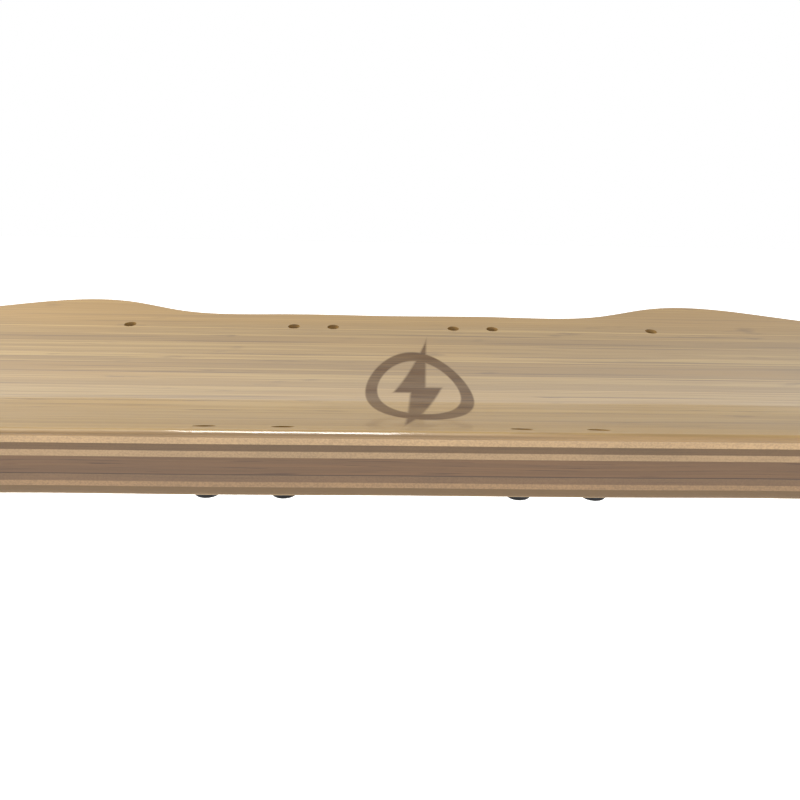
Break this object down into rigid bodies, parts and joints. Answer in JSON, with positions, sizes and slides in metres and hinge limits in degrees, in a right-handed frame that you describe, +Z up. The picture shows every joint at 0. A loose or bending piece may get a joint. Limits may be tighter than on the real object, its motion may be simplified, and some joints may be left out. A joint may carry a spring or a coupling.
{
  "type": "electric skateboard",
  "caption": "Electric skateboard: layered bamboo deck, concave across its width, with flared platforms, under-deck battery and controller housings, reverse-kingpin trucks and hub motors.",
  "frame": {"origin": "on the ground, midway between the trucks, on the centreline", "axes": "+X along the deck to the nose, +Y to the left of a rider facing the nose, +Z up"},
  "size_m": [0.984, 0.258, 0.1502],
  "materials": {
    "bamboo_face": "bamboo strips under gloss varnish",
    "light_ply": "pale wood edge grain",
    "dark_ply": "dark wood edge grain",
    "grey_ply": "grey-brown wood edge grain",
    "bamboo_core": "bamboo edge grain with fine fibre streaks",
    "insert_brass": "turned",
    "black_steel": "black oxide",
    "zinc_steel": "zinc plated",
    "housing_plastic": "fine moulded texture",
    "gasket_rubber": "matt",
    "cell_wrap": "shrink wrap",
    "circuit_board": "solder mask",
    "controller_case": "anodised",
    "heat_sink_metal": "extruded",
    "gland_plastic": "moulded",
    "button_metal": "turned",
    "truck_metal": "cast and tumbled",
    "pivot_urethane": "urethane",
    "bushing_urethane": "urethane",
    "tyre_urethane": "cast urethane",
    "core_plastic": "glass-filled",
    "bearing_steel": "ground",
    "motor_metal": "black anodised",
    "stator_steel": "laminated"
  },
  "bodies": {
    "deck": {"battery_cells": "cell_wrap", "battery_gasket": "gasket_rubber", "battery_housing": "housing_plastic", "bms_board": "circuit_board", "cable_cover": "housing_plastic", "cable_glands": "gland_plastic", "charge_cap_pin": "zinc_steel", "charge_socket": "gland_plastic", "core_ply": "bamboo_core", "electronics_gasket": "gasket_rubber", "electronics_housing": "housing_plastic", "enclosure_screws": "black_steel", "front_baseplate": "truck_metal", "front_bushings": "bushing_urethane", "front_kingpin": "black_steel", "front_kingpin_nut": "zinc_steel", "front_pivot_cup": "pivot_urethane", "front_riser_pad": "gasket_rubber", "heat_sink": "heat_sink_metal", "motor_controller": "controller_case", "ply_dark": "dark_ply", "ply_grey": "grey_ply", "ply_light_lower": "light_ply", "ply_light_middle": "light_ply", "ply_light_upper": "light_ply", "rear_baseplate": "truck_metal", "rear_bushings": "bushing_urethane", "rear_kingpin": "black_steel", "rear_kingpin_nut": "zinc_steel", "rear_pivot_cup": "pivot_urethane", "rear_riser_pad": "gasket_rubber", "switch_body": "gland_plastic", "threaded_inserts": "insert_brass", "truck_bolts": "zinc_steel", "truck_locknuts": "zinc_steel", "veneer_bottom": "bamboo_face", "veneer_top": "bamboo_face"},
    "front_hanger": {"front_hanger": "truck_metal", "front_axle": "zinc_steel", "front_axle_hardware": "zinc_steel"},
    "rear_hanger": {"rear_hanger": "truck_metal", "rear_axle": "zinc_steel", "rear_left_stator": "stator_steel", "rear_right_stator": "stator_steel"},
    "power_button": {"power_button": "button_metal"},
    "charge_cap": {"charge_cap": "gasket_rubber"},
    "front_left_wheel": {"front_left_tyre": "tyre_urethane", "front_left_core": "core_plastic", "front_left_bearings": "bearing_steel"},
    "rear_left_wheel": {"rear_left_tyre": "tyre_urethane", "rear_left_motor_can": "motor_metal", "rear_left_motor_cover": "motor_metal", "rear_left_motor_bearings": "bearing_steel"},
    "front_right_wheel": {"front_right_tyre": "tyre_urethane", "front_right_core": "core_plastic", "front_right_bearings": "bearing_steel"},
    "rear_right_wheel": {"rear_right_tyre": "tyre_urethane", "rear_right_motor_can": "motor_metal", "rear_right_motor_cover": "motor_metal", "rear_right_motor_bearings": "bearing_steel"}
  },
  "joints": [
    {"name": "front_hanger_lean", "type": "hinge", "parent": "deck", "child": "front_hanger", "pos_m": [0.372, 0, 0.0485], "axis": [0.7071, 0, 0.7071], "range_deg": [-14, 14], "stiffness_Nm_per_rad": 60, "deforming": ["front_bushings"]},
    {"name": "rear_hanger_lean", "type": "hinge", "parent": "deck", "child": "rear_hanger", "pos_m": [-0.372, 0, 0.0485], "axis": [-0.7071, 0, 0.7071], "range_deg": [-14, 14], "stiffness_Nm_per_rad": 60, "deforming": ["rear_bushings"]},
    {"name": "front_left_wheel_spin", "type": "hinge", "parent": "front_hanger", "child": "front_left_wheel", "pos_m": [0.372, 0.103, 0.0485], "axis": [0, 1, 0], "continuous": true},
    {"name": "front_right_wheel_spin", "type": "hinge", "parent": "front_hanger", "child": "front_right_wheel", "pos_m": [0.372, -0.103, 0.0485], "axis": [0, 1, 0], "continuous": true},
    {"name": "rear_left_wheel_spin", "type": "hinge", "parent": "rear_hanger", "child": "rear_left_wheel", "pos_m": [-0.372, 0.103, 0.0485], "axis": [0, 1, 0], "continuous": true},
    {"name": "rear_right_wheel_spin", "type": "hinge", "parent": "rear_hanger", "child": "rear_right_wheel", "pos_m": [-0.372, -0.103, 0.0485], "axis": [0, 1, 0], "continuous": true},
    {"name": "power_button_press", "type": "slide", "parent": "deck", "child": "power_button", "axis": [0, -1, 0], "range_m": [0, 0.0015], "stiffness_N_per_m": 600, "springref_m": -0.001},
    {"name": "charge_cap_lift", "type": "hinge", "parent": "deck", "child": "charge_cap", "pos_m": [0.236, 0.0792, 0.106], "axis": [1, 0, 0], "range_deg": [0, 100]}
  ]
}
